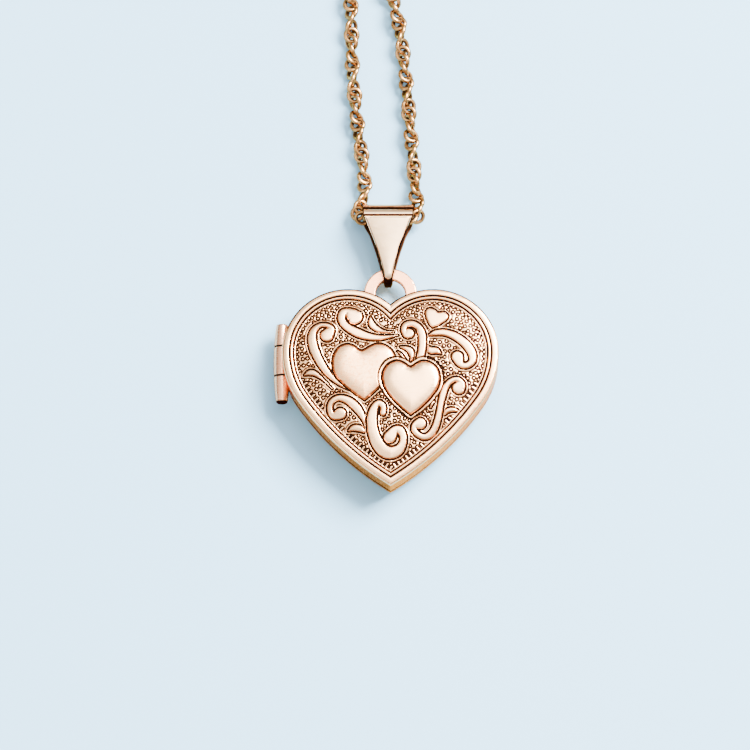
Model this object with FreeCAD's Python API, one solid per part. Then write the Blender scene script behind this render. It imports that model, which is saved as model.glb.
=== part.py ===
import FreeCAD, Part
import math
import os
from FreeCAD import Vector as V

os.makedirs("parts", exist_ok=True)

# ---------------------------------------------------------------- frame
# Millimetres. The locket lies on its back: +Z is the front face's normal,
# -Y the heart's tip, +Y the bail and the chain, -X the hinge. The origin is
# the middle of the flat of the back cover.

# ---------------------------------------------------------------- heart outline
LOBE_C, LOBE_R = (2.95, 2.45), 4.55      # upper lobe arc
SIDE_C, SIDE_R = (1.30, 2.45), 6.20      # side arc, from 0 to -35 degrees
SIDE_A = math.radians(-35.0)
LOW_R = 21.745                           # long lower arc down to the tip
LOW_C = (SIDE_C[0] - (LOW_R - SIDE_R) * math.cos(SIDE_A),
         SIDE_C[1] - (LOW_R - SIDE_R) * math.sin(SIDE_A))

# ---------------------------------------------------------------- case
Z_SEAM_LO, Z_SEAM_HI = 1.42, 1.48        # the two halves' meeting edges
Z_SHOULDER = 2.80                        # top of the front half's side wall
Z_RIM = 3.15                             # top of the raised rim
Z_FIELD = 3.03                           # edge of the recessed field
Z_DOME = 3.22                            # middle of the field
Z_TOP = 3.50                             # top of the raised hearts
RIM_BEVEL = 0.50                         # width of the rim's outer bevel
RIM_IN = 0.79                            # inner edge of the rim
WALL = 0.35                              # sheet thickness
LEDGE_IN = 0.95                          # inner edge of the picture ledge
BACK_PROFILE = [(1.45, 0.0), (0.95, 0.08), (0.55, 0.22), (0.25, 0.45),
                (0.07, 0.72), (0.0, 1.00), (0.0, Z_SEAM_LO)]   # (inset, z)
CARD_T, WINDOW_T, FRAME_T = 0.15, 0.15, 0.43
FRAME_IN = 1.20                          # inner edge of the photo frames

# ---------------------------------------------------------------- hinge
HX, HZ = -7.52, 1.45                     # hinge axis, along Y
HR_MID, HR_END = 0.55, 0.34              # barrel radius, middle and ends
HY = (-0.85, 1.09, 3.20, 4.85)           # ends of the three knuckles
H_GAP = 0.025                            # half the gap between knuckles
H_CLEAR = 0.05                           # room round a knuckle in the other half
PIN_R = 0.20
PIN_RUN = 0.025                          # running clearance, middle knuckle

# ---------------------------------------------------------------- hanging ring, bail
RING_C, RING_RO, RING_RI = (0.0, 7.115), 1.85, 1.035
RING_Z = (0.90, 1.40)
BAIL_X = -0.15                           # bail's middle
BAIL_T = 0.30
BAIL_LO = (8.50, 1.15, 0.90)             # lower fold: y, z, outer radius
BAIL_HI = (12.29, 1.20, 1.15)            # upper fold
BAIL_HALF = [(7.40, 0.36), (8.45, 0.39), (9.29, 0.60), (10.26, 0.96),
             (11.26, 1.36), (12.27, 1.70), (13.60, 1.87)]      # (y, half width)

# ---------------------------------------------------------------- chain
CHAIN_D = 1.15
COIL_C = (6.40, 41.0)
COIL_PITCH = 1.17
COIL_STEPS = [(0.0, 1.17, 10.48, 4.60), (1.17, 2.20, 9.90, 4.90),
              (2.20, 3.33, 7.50, 5.00)]   # z from, z to, outer r, inner r
LEFT = [(0.0, 12.45, 1.15), (-2.35, 12.40, 1.10), (-3.75, 13.20, 0.85),
        (-3.55, 15.00, 0.66), (-2.40, 17.20, 0.64), (-2.20, 20.00, 0.64),
        (-2.62, 23.40, 0.64), (-2.75, 27.40, 0.64), (-3.05, 31.40, 0.64),
        (-3.45, 35.40, 0.64), (-3.50, 39.00, 0.64)]
RIGHT = [(0.0, 12.45, 1.15), (2.15, 12.40, 1.10), (3.55, 13.20, 0.85),
         (3.35, 15.00, 0.66), (2.05, 17.30, 0.64), (1.50, 20.20, 0.64),
         (1.05, 24.00, 0.64), (0.55, 28.00, 0.64), (-0.55, 31.40, 0.80),
         (-2.00, 34.80, 1.45), (-2.80, 38.20, 1.62)]
END_LEFT = [(-2.70, 4.25, 0.64), (-1.35, 4.25, 0.64), (-0.25, 3.55, 0.62),
            (0.0, 2.35, 0.60)]            # from the coil to the clasp, about COIL_C
END_RIGHT_POLAR = [(6.75, 98.0, 2.75), (7.05, 84.0, 2.86), (7.75, 73.0, 2.86),
                   (8.25, 64.0, 2.60)]    # r, angle, z about COIL_C

# ---------------------------------------------------------------- clasp
CL_C = (COIL_C[0], COIL_C[1] - 1.20)     # clasp's middle
CL_Z = 0.50
CL_R, CL_TUBE, CL_BORE = 2.00, 0.50, 0.33
CL_BOLT_R = 0.30
CL_GAP = (20.0, 70.0)                    # mouth of the ring, degrees, before turning
CL_BOLT = (-25.0, 75.0)                  # bolt when shut
CL_TURN = 175.0                          # the mouth and lever are turned by this
EYE_R, EYE_W = 0.55, 0.20
END_RING_R, END_RING_W = 1.05, 0.24


def pt(c, r, a):
    return (c[0] + r * math.cos(a), c[1] + r * math.sin(a))


def heart_arcs(d):
    """The three arcs of the right half of the outline, inset by d."""
    r1, r2, r3 = LOBE_R - d, SIDE_R - d, LOW_R - d
    a0 = math.acos(-LOBE_C[0] / r1)
    a1 = -math.acos(-LOW_C[0] / r3)
    return [(LOBE_C, r1, a0, 0.0), (SIDE_C, r2, 0.0, SIDE_A), (LOW_C, r3, SIDE_A, a1)]


def heart_wire(d, z):
    right, left = [], []
    for c, r, a, b in heart_arcs(d):
        p = [pt(c, r, t) for t in (a, 0.5 * (a + b), b)]
        right.append(p)
    edges = []
    for p in right:
        q = [V(x, y, z) for x, y in p]
        edges.append(Part.Arc(*q).toShape())
    for p in reversed(right):
        q = [V(-x, y, z) for x, y in reversed(p)]
        edges.append(Part.Arc(*q).toShape())
    return Part.Wire(edges)


def heart_prism(d, z0, z1):
    return Part.Face(heart_wire(d, z0)).extrude(V(0, 0, z1 - z0))


def heart_loft(profile):
    return Part.makeLoft([heart_wire(d, z) for d, z in profile], True, True)


def poly_face(points, z):
    w = Part.makePolygon([V(x, y, z) for x, y in points + points[:1]])
    return Part.Face(w)


def small_heart(cx, cy, w, h, turn, z0, z1):
    """A small heart pad: w wide, h tall, turned about its middle."""
    pts = []
    for i in range(64):
        t = 2 * math.pi * i / 64
        x = math.sin(t) ** 3
        y = (13 * math.cos(t) - 5 * math.cos(2 * t) - 2 * math.cos(3 * t)
             - math.cos(4 * t)) / 16.0
        y = (y + 0.17) / 0.92
        x, y = 0.5 * w * x, 0.46 * h * y
        c, s = math.cos(math.radians(turn)), math.sin(math.radians(turn))
        pts.append((cx + c * x - s * y, cy + s * x + c * y))
    return poly_face(pts, z0).extrude(V(0, 0, z1 - z0))


def box(x0, x1, y0, y1, z0, z1):
    return Part.makeBox(x1 - x0, y1 - y0, z1 - z0, V(x0, y0, z0))


def barrel_r(y):
    """Radius of the filed barrel at y."""
    mid, half = 0.5 * (HY[0] + HY[3]), 0.5 * (HY[3] - HY[0])
    u = (y - mid) / half
    return HR_MID - (HR_MID - HR_END) * u * u


def barrel(y0, y1, extra=0.0, bore=0.0):
    n = 6
    ys = [y0 + (y1 - y0) * i / n for i in range(n + 1)]
    pts = [V(HX, y0, HZ)] + [V(HX + barrel_r(y) + extra, y, HZ) for y in ys] + [V(HX, y1, HZ)]
    f = Part.Face(Part.makePolygon(pts + pts[:1]))
    s = f.revolve(V(HX, 0, HZ), V(0, 1, 0), 360)
    if bore:
        s = s.cut(Part.makeCylinder(bore, y1 - y0 + 2, V(HX, y0 - 1, HZ), V(0, 1, 0)))
    return s


def routed(points):
    """Straight runs joined by tangent arcs."""
    P = [V(*p) for p in points]
    edges, last, radii = [], P[0], []
    for i in range(1, len(P) - 1):
        a, b = P[i] - P[i - 1], P[i + 1] - P[i]
        la, lb = a.Length, b.Length
        a, b = V(a).normalize(), V(b).normalize()
        turn = a.getAngle(b)
        cut = 0.45 * min(la, lb)
        r = cut / math.tan(turn / 2)
        radii.append(round(r, 2))
        p, q = P[i] - a * cut, P[i] + b * cut
        n = (b - a).normalize()
        c = P[i] + n * (r / math.cos(turn / 2))
        m = c - n * r
        edges.append(Part.LineSegment(last, p).toShape())
        edges.append(Part.Arc(p, m, q).toShape())
        last = q
    edges.append(Part.LineSegment(last, P[-1]).toShape())
    return Part.Wire(edges), radii


def tube(points, d, name):
    w, radii = routed(points)
    t = (V(*points[1]) - V(*points[0])).normalize()
    c = Part.Wire([Part.makeCircle(d / 2, V(*points[0]), t)])
    s = w.makePipeShell([c], True, False)
    s = Part.Solid(s.Shells[0]) if not isinstance(s, Part.Solid) else s
    if s.Volume < 0:
        s.reverse()
    print(name, "length %.2f radii %s volume %.3f expected %.3f" % (
        w.Length, radii, s.Volume, math.pi * d * d / 4 * w.Length))
    return s


def torus_sector(R, r, a0, a1, cx, cy, z):
    t = Part.makeTorus(R, r, V(0, 0, 0), V(0, 0, 1), -180, 180, a1 - a0)
    t.rotate(V(0, 0, 0), V(0, 0, 1), a0)
    t.translate(V(cx, cy, z))
    return t


def sector_cap(R, r, a, cx, cy, z):
    """A ball that rounds a curved rod's end."""
    p = pt((cx, cy), R, math.radians(a))
    return Part.makeSphere(r, V(p[0], p[1], z))


nodes = {}

# ---------------------------------------------------------------- hinge pieces
# Each outer knuckle has a web that runs into the back half's wall, and the
# middle knuckle has one into the front half's wall.
web_back = box(HX + 0.05, HX + 1.4, -5, 10, 0.98, Z_SEAM_LO).cut(heart_prism(0.25, 0, 4))
web_front = box(HX + 0.05, HX + 1.4, -5, 10, Z_SEAM_HI, 1.90).cut(heart_prism(0.25, 0, 4))


def knuckle(i, web, bore):
    y0 = HY[i] + (H_GAP if i else 0)
    y1 = HY[i + 1] - (H_GAP if i < 2 else 0)
    s = barrel(y0, y1)
    s = s.fuse(web.common(box(-20, 20, y0, y1, -5, 9))).removeSplitter()
    return s.cut(Part.makeCylinder(bore, 20, V(HX, -8, HZ), V(0, 1, 0)))


k_low = knuckle(0, web_back, PIN_R)
k_mid = knuckle(1, web_front, PIN_R + PIN_RUN)
k_up = knuckle(2, web_back, PIN_R)
nodes["hinge_knuckle_lower"] = k_low
nodes["hinge_knuckle_middle"] = k_mid
nodes["hinge_knuckle_upper"] = k_up
nodes["hinge_pin"] = Part.makeCylinder(PIN_R, HY[3] - HY[0] - 0.06, V(HX, HY[0] + 0.03, HZ), V(0, 1, 0))

clear_all = barrel(HY[0] - 0.06, HY[3] + 0.06, H_CLEAR)
clear_low = barrel(HY[0] - 0.06, HY[1] + 0.03, H_CLEAR)
clear_mid = barrel(HY[1] - 0.03, HY[2] + 0.03, H_CLEAR)
clear_up = barrel(HY[2] - 0.03, HY[3] + 0.06, H_CLEAR)
# Room for each half's web where the other half's wall turns past it.

# ---------------------------------------------------------------- back cover
ledge_b = Z_SEAM_LO - FRAME_T - WINDOW_T - CARD_T - 0.02
back = heart_loft(BACK_PROFILE)
back = back.cut(heart_prism(WALL, ledge_b, 3.0))
back = back.cut(heart_loft([(1.45, 0.36), (LEDGE_IN, 0.48), (LEDGE_IN, ledge_b + 0.01)]))
back = back.cut(clear_mid).cut(barrel(HY[0], HY[1] - H_GAP)).cut(barrel(HY[2] + H_GAP, HY[3]))
back = back.cut(k_low).cut(k_up)

# ---------------------------------------------------------------- front cover
ledge_f = Z_SEAM_HI + FRAME_T + WINDOW_T + CARD_T + 0.02
front = heart_loft([(0.0, Z_SEAM_HI), (0.0, Z_SHOULDER), (0.10, 2.95), (0.27, 3.08), (RIM_BEVEL, Z_RIM)])
front = front.cut(heart_prism(RIM_IN, Z_FIELD, 5.0))
front = front.fuse(heart_loft([(RIM_IN, Z_FIELD - 0.1), (RIM_IN, Z_FIELD), (1.10, 3.13), (1.45, Z_DOME)]))
# Three raised hearts: the big one, the one in front of it and the small one.
pads = small_heart(-1.88, 1.05, 4.20, 4.05, -2, 2.95, Z_TOP - 0.06)
pads = pads.fuse(small_heart(1.40, -0.20, 3.97, 3.80, 2, 2.95, Z_TOP))
pads = pads.fuse(small_heart(3.14, 4.92, 1.66, 1.50, -26, 2.95, 3.34))
front = front.fuse(pads)
front = front.cut(heart_prism(WALL, 1.0, ledge_f))
front = front.cut(heart_loft([(LEDGE_IN, ledge_f - 0.01), (LEDGE_IN, 2.62), (1.45, 2.86)]))
front = front.cut(clear_low).cut(clear_up).cut(barrel(HY[1] + H_GAP, HY[2] - H_GAP)).cut(k_mid)

# ---------------------------------------------------------------- photo frames, windows, cards
TONGUE = (6.85, 7.00, 2.00, 2.90)        # snap tongue in plan
tongue_room = box(TONGUE[0] - 0.06, 7.3, TONGUE[2] - 0.08, TONGUE[3] + 0.08, 0.9, 2.3)


def photo_set(z_face, up):
    """Frame, window and card of one half; up is +1 in the front half."""
    def zs(a, b):
        lo, hi = z_face + up * a, z_face + up * b
        return (min(lo, hi), max(lo, hi))
    a, b, c = 0.02, 0.02 + FRAME_T, 0.02 + FRAME_T + WINDOW_T
    z0, z1 = zs(a, b)
    fr = heart_prism(WALL, z0, z1).cut(heart_prism(FRAME_IN, z0 - 1, z1 + 1))
    z0, z1 = zs(b, c)
    win = heart_prism(WALL + 0.08, z0, z1)
    z0, z1 = zs(c, c + CARD_T)
    card = heart_prism(WALL + 0.12, z0, z1)
    out = []
    for s in (fr, win, card):
        out.append(s.cut(clear_all).cut(tongue_room))
    return out


fb, wb, cb = photo_set(Z_SEAM_LO, -1)
ff, wf, cf = photo_set(Z_SEAM_HI, 1)
fb = fb.cut(k_low).cut(k_up)
ff = ff.cut(k_mid)
wb, cb = wb.cut(k_low).cut(k_up), cb.cut(k_low).cut(k_up)
wf, cf = wf.cut(k_mid), cf.cut(k_mid)
nodes["back_photo_frame"], nodes["back_window"], nodes["back_photo_card"] = fb, wb, cb
nodes["front_photo_frame"], nodes["front_window"], nodes["front_photo_card"] = ff, wf, cf

# ---------------------------------------------------------------- snap catch
# A thin tongue inside the front half's wall, opposite the hinge, reaches down
# into the back half; the bead on it sits under the keeper on the back wall.
tx0, tx1, ty0, ty1 = TONGUE
tongue = box(tx0, tx1, ty0, ty1, 1.10, 2.00)
tongue = tongue.fuse(box(tx0, 7.30, ty0, ty1, 1.78, 2.00).common(heart_prism(WALL, 1, 3)))
tongue = tongue.fuse(Part.makeCylinder(0.045, ty1 - ty0, V(tx1, ty0, 1.18), V(0, 1, 0))).removeSplitter()
keeper = box(7.06, 7.40, ty0 + 0.1, ty1 - 0.1, 1.27, 1.37)
keeper = keeper.common(heart_prism(WALL, 1, 3))
nodes["snap_tongue"] = tongue
nodes["snap_keeper"] = keeper

nodes["back_cover"] = back
nodes["front_cover"] = front

# ---------------------------------------------------------------- hanging ring
ring = Part.makeCylinder(RING_RO, RING_Z[1] - RING_Z[0], V(RING_C[0], RING_C[1], RING_Z[0]))
ring = ring.cut(Part.makeCylinder(RING_RI, 2, V(RING_C[0], RING_C[1], 0.5)))
rims = [e for e in ring.Edges if isinstance(e.Curve, Part.Circle)]
ring = ring.makeFillet(0.10, rims)
# The back of the ring follows the case, which swells as far as the outline.
ring = ring.cut(heart_prism(0.0, 0.5, 2.0))
ring = max(ring.Solids, key=lambda s: s.Volume) if len(ring.Solids) > 1 else ring
nodes["hanging_ring"] = ring

# ---------------------------------------------------------------- bail
def teardrop(off):
    """Side outline of the bail, inset by off, as a wire in the YZ plane."""
    y0, z0, r0 = BAIL_LO
    y1, z1, r1 = BAIL_HI
    r0, r1 = r0 - off, r1 - off
    dy, dz = y1 - y0, z1 - z0
    L = math.hypot(dy, dz)
    base = math.atan2(dz, dy)
    tilt = math.acos((r0 - r1) / L)
    up, dn = base + tilt, base - tilt
    def p(y, z, r, a):
        return V(0, y + r * math.cos(a), z + r * math.sin(a))
    e = [Part.LineSegment(p(y0, z0, r0, up), p(y1, z1, r1, up)).toShape(),
         Part.Arc(p(y1, z1, r1, up), p(y1, z1, r1, base), p(y1, z1, r1, dn)).toShape(),
         Part.LineSegment(p(y1, z1, r1, dn), p(y0, z0, r0, dn)).toShape(),
         Part.Arc(p(y0, z0, r0, dn), p(y0, z0, r0, base + math.pi), p(y0, z0, r0, up)).toShape()]
    return Part.Wire(e)


loop = Part.Face(teardrop(0.0)).extrude(V(5, 0, 0)).cut(Part.Face(teardrop(BAIL_T)).extrude(V(5, 0, 0)))
loop.translate(V(BAIL_X - 2.5, 0, 0))
half = BAIL_HALF
plan = [(BAIL_X + w, y) for y, w in half] + [(BAIL_X - w, y) for y, w in reversed(half)]
bail = loop.common(poly_face(plan, -1).extrude(V(0, 0, 5)))
nodes["bail"] = bail

# ---------------------------------------------------------------- chain
nodes["chain_left"] = tube(LEFT, CHAIN_D, "chain_left")
nodes["chain_right"] = tube(RIGHT, CHAIN_D, "chain_right")
prof = []
for z0, z1, ro, ri in COIL_STEPS:
    prof += [(ro, z0), (ro, z1)]
for z0, z1, ro, ri in reversed(COIL_STEPS):
    prof += [(ri, z1), (ri, z0)]
clean = []
for q in prof:
    if not clean or math.hypot(q[0] - clean[-1][0], q[1] - clean[-1][1]) > 1e-6:
        clean.append(q)
w = Part.makePolygon([V(r, 0, z) for r, z in clean + clean[:1]])
coil = Part.Face(w).revolve(V(0, 0, 0), V(0, 0, 1), 360)
coil.translate(V(COIL_C[0], COIL_C[1], 0))
nodes["chain_coil"] = coil
end_left = [(COIL_C[0] + x, COIL_C[1] + y, z) for x, y, z in END_LEFT]
end_right = [(COIL_C[0] + r * math.cos(math.radians(a)), COIL_C[1] + r * math.sin(math.radians(a)), z)
             for r, a, z in END_RIGHT_POLAR]
nodes["chain_end_left"] = tube(end_left, CHAIN_D, "chain_end_left")
nodes["chain_end_right"] = tube(end_right, CHAIN_D, "chain_end_right")

# ---------------------------------------------------------------- spring ring clasp
cx, cy = CL_C
a0, a1 = CL_GAP[1] + CL_TURN, CL_GAP[0] + 360 + CL_TURN
body = torus_sector(CL_R, CL_TUBE, a0, a1, cx, cy, CL_Z)
body = body.cut(torus_sector(CL_R, CL_BORE, a0 - 1, a1 + 1 - 0.001, cx, cy, CL_Z))
# Slot for the lever, along the outside of the tube.
s0, s1 = -64 + CL_TURN, 2 + CL_TURN
slot_face = Part.Face(Part.makePolygon([V(CL_R + 0.2, 0, -0.18), V(CL_R + 0.8, 0, -0.18),
                                        V(CL_R + 0.8, 0, 0.18), V(CL_R + 0.2, 0, 0.18),
                                        V(CL_R + 0.2, 0, -0.18)]))
slot = slot_face.revolve(V(0, 0, 0), V(0, 0, 1), s1 - s0)
slot.rotate(V(0, 0, 0), V(0, 0, 1), s0)
slot.translate(V(cx, cy, CL_Z))
body = body.cut(slot)
nodes["clasp_ring"] = body
b0, b1 = CL_BOLT[0] + CL_TURN, CL_BOLT[1] + CL_TURN
bolt = torus_sector(CL_R, CL_BOLT_R, b0, b1, cx, cy, CL_Z)
lev_a = math.radians(-8 + CL_TURN)
ux, uy = math.cos(lev_a), math.sin(lev_a)
lever = Part.makeCylinder(0.13, 0.78, V(cx + CL_R * ux, cy + CL_R * uy, CL_Z), V(ux, uy, 0))
knob = Part.makeSphere(0.24, V(cx + (CL_R + 0.80) * ux, cy + (CL_R + 0.80) * uy, CL_Z))
nodes["clasp_bolt"] = bolt.fuse(lever.fuse(knob)).removeSplitter()
sp0, sp1 = -118 + CL_TURN, -26 + CL_TURN
nodes["clasp_spring"] = torus_sector(CL_R, 0.24, sp0, sp1, cx, cy, CL_Z)
# Stop that the spring bears on, inside the tube.
nodes["clasp_stop"] = torus_sector(CL_R, CL_BORE, sp0 - 8, sp0, cx, cy, CL_Z)
eye = Part.makeTorus(EYE_R, EYE_W, V(cx, cy + CL_R + CL_TUBE + EYE_R + EYE_W - 0.08, CL_Z), V(0, 0, 1))
eye = eye.cut(Part.makeTorus(CL_R, CL_TUBE, V(cx, cy, CL_Z), V(0, 0, 1)))
nodes["clasp_eyelet"] = eye
er = math.radians(51.0)
nodes["chain_end_ring"] = Part.makeTorus(END_RING_R, END_RING_W,
                                         V(COIL_C[0] + 8.80 * math.cos(er), COIL_C[1] + 8.80 * math.sin(er),
                                           2.20 + END_RING_W), V(0, 0, 1))

# ---------------------------------------------------------------- write
for name, shape in sorted(nodes.items()):
    if shape.ShapeType == "Compound" and len(shape.Solids) == 1:
        shape = shape.Solids[0]
    b = shape.BoundBox
    print("%-22s %-9s solids %d valid %s vol %8.3f  x %.2f..%.2f y %.2f..%.2f z %.2f..%.2f" % (
        name, shape.ShapeType, len(shape.Solids), shape.isValid(), shape.Volume,
        b.XMin, b.XMax, b.YMin, b.YMax, b.ZMin, b.ZMax))
    shape.exportStep("parts/%s.step" % name)
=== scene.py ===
import math
import bpy
import numpy as np
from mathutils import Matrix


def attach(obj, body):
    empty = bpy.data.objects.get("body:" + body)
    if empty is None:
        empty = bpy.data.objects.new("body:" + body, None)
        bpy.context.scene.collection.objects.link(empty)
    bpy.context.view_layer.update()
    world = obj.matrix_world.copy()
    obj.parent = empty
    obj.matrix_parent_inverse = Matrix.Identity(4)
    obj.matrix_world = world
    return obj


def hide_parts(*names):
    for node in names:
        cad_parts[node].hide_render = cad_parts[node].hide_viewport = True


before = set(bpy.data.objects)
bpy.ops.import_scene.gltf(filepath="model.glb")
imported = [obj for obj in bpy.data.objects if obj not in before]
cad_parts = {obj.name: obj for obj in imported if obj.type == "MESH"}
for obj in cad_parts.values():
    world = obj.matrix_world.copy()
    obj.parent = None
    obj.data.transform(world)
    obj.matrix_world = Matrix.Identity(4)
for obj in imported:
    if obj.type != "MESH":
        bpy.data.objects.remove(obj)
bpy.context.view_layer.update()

MM = 0.001
rng = np.random.default_rng(7)


# ------------------------------------------------------------------ outline
LOBE_C, LOBE_R = (2.95, 2.45), 4.55
SIDE_C, SIDE_R = (1.30, 2.45), 6.20
SIDE_A = math.radians(-35.0)
LOW_R = 21.745
LOW_C = (SIDE_C[0] - (LOW_R - SIDE_R) * math.cos(SIDE_A),
         SIDE_C[1] - (LOW_R - SIDE_R) * math.sin(SIDE_A))
CLEFT = (0.0, LOBE_C[1] + math.sqrt(LOBE_R ** 2 - LOBE_C[0] ** 2))
Z_SEAM_LO, Z_SEAM_HI = 1.42, 1.48
RIM_IN = 0.79


def heart_ring(d, n):
    """n points round the outline inset by d, clockwise from the cleft."""
    half = n // 2
    n1 = int(round(half * 0.45)); n2 = int(round(half * 0.165)); n3 = half - n1 - n2
    r1, r2, r3 = LOBE_R - d, SIDE_R - d, LOW_R - d
    a0 = math.acos(max(-1.0, -LOBE_C[0] / r1))
    a1 = -math.acos(-LOW_C[0] / r3)
    out = []
    for c, r, a, b, m in ((LOBE_C, r1, a0, 0.0, n1), (SIDE_C, r2, 0.0, SIDE_A, n2), (LOW_C, r3, SIDE_A, a1, n3)):
        t = a + (b - a) * np.arange(m) / m
        out.append(np.c_[c[0] + r * np.cos(t), c[1] + r * np.sin(t)])
    right = np.vstack(out)
    tip = np.array([[0.0, LOW_C[1] + r3 * math.sin(a1)]])
    left = right[1:][::-1] * [-1, 1]
    return np.vstack([right, tip, left])


def inset_of(x, y):
    """How far inside the outline each point is."""
    x = np.abs(x)
    best = np.hypot(x - CLEFT[0], y - CLEFT[1])
    a1 = -math.acos(-LOW_C[0] / LOW_R)
    for c, r, lo, hi in ((LOBE_C, LOBE_R, 0.0, math.acos(-LOBE_C[0] / LOBE_R)), (SIDE_C, SIDE_R, SIDE_A, 0.0), (LOW_C, LOW_R, a1, SIDE_A)):
        a = np.arctan2(y - c[1], x - c[0])
        d = r - np.hypot(x - c[0], y - c[1])
        best = np.where((a >= lo - 1e-6) & (a <= hi + 1e-6) & (d < best), d, best)
    return best


def smooth01(t):
    t = np.clip(t, 0.0, 1.0)
    return t * t * (3 - 2 * t)


# ------------------------------------------------------------------ mesh helpers
def mesh_piece(name, verts_mm, faces, mat=None, smooth=True, attrs=None, sharp=None):
    """verts in mm; faces a list of tuples or of arrays of quads and triangles."""
    me = bpy.data.meshes.new(name)
    v = np.asarray(verts_mm, dtype=np.float32) * MM
    if isinstance(faces, (list, tuple)) and len(faces) and isinstance(faces[0], np.ndarray):
        idx = np.concatenate([f.reshape(-1) for f in faces]).astype(np.int32)
        tot = np.concatenate([np.full(len(f), f.shape[1], dtype=np.int32) for f in faces])
        start = np.r_[0, np.cumsum(tot)[:-1]].astype(np.int32)
        me.vertices.add(len(v)); me.vertices.foreach_set("co", v.reshape(-1))
        me.loops.add(len(idx)); me.loops.foreach_set("vertex_index", idx)
        me.polygons.add(len(tot)); me.polygons.foreach_set("loop_start", start)
        me.polygons.foreach_set("loop_total", tot)
        me.update(calc_edges=True)
    else:
        me.from_pydata(v.tolist(), [], [tuple(int(i) for i in f) for f in faces])
    me.validate()
    if smooth:
        me.polygons.foreach_set("use_smooth", np.ones(len(me.polygons), dtype=bool))
    for k, a in (attrs or {}).items():
        at = me.attributes.new(k, "FLOAT", "POINT")
        at.data.foreach_set("value", np.asarray(a, dtype=np.float32))
    ob = bpy.data.objects.new(name, me)
    bpy.context.scene.collection.objects.link(ob)
    if sharp is not None:
        me.set_sharp_from_angle(angle=math.radians(sharp))
    if mat is not None:
        me.materials.append(mat)
    return ob


def rings_to_faces(sizes, offsets, close_start=None, close_end=None):
    """Quads and triangles between successive rings; a ring may have half its neighbour's points."""
    quads, tris = [], []
    for k in range(len(sizes) - 1):
        na, nb, oa, ob = sizes[k], sizes[k + 1], offsets[k], offsets[k + 1]
        if na == nb:
            i = np.arange(na); j = (i + 1) % na
            quads.append(np.c_[oa + i, oa + j, ob + j, ob + i])
        elif na == 2 * nb:
            i = np.arange(nb); j = (i + 1) % nb
            f0, f1, f2 = oa + 2 * i, oa + 2 * i + 1, oa + (2 * i + 2) % na
            tris.append(np.c_[f0, f1, ob + i]); tris.append(np.c_[f1, ob + j, ob + i]); tris.append(np.c_[f1, f2, ob + j])
        elif nb == 2 * na:
            i = np.arange(na); j = (i + 1) % na
            f0, f1, f2 = ob + 2 * i, ob + 2 * i + 1, ob + (2 * i + 2) % nb
            tris.append(np.c_[oa + i, f1, f0]); tris.append(np.c_[oa + i, oa + j, f1]); tris.append(np.c_[oa + j, f2, f1])
    for cap, k, flip in ((close_start, 0, True), (close_end, -1, False)):
        if cap is not None:
            n, o = sizes[k], offsets[k]
            i = np.arange(n); j = (i + 1) % n
            t = np.c_[o + i, o + j, np.full(n, cap)]
            tris.append(t[:, ::-1] if flip else t)
    return [np.vstack(quads).astype(np.int32)] + ([np.vstack(tris).astype(np.int32)] if tris else [])


# ------------------------------------------------------------------ materials
def nodes_of(mat):
    mat.use_nodes = True
    nt = mat.node_tree
    return nt, nt.nodes["Principled BSDF"]


def noise_node(nt, scale, detail=3.0, rough=0.5, vec=None):
    n = nt.nodes.new("ShaderNodeTexNoise")
    n.inputs["Scale"].default_value = scale
    n.inputs["Detail"].default_value = detail
    n.inputs["Roughness"].default_value = rough
    if vec is not None:
        nt.links.new(vec, n.inputs["Vector"])
    return n


def ramp(nt, src, stops):
    r = nt.nodes.new("ShaderNodeValToRGB")
    while len(r.color_ramp.elements) < len(stops):
        r.color_ramp.elements.new(0.5)
    for e, (p, c) in zip(r.color_ramp.elements, stops):
        e.position = p
        e.color = (*c, 1) if len(c) == 3 else c
    nt.links.new(src, r.inputs["Fac"])
    return r


def maprange(nt, src, a, b, c, d):
    m = nt.nodes.new("ShaderNodeMapRange")
    m.inputs["From Min"].default_value = a; m.inputs["From Max"].default_value = b
    m.inputs["To Min"].default_value = c; m.inputs["To Max"].default_value = d
    nt.links.new(src, m.inputs["Value"])
    return m


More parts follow.
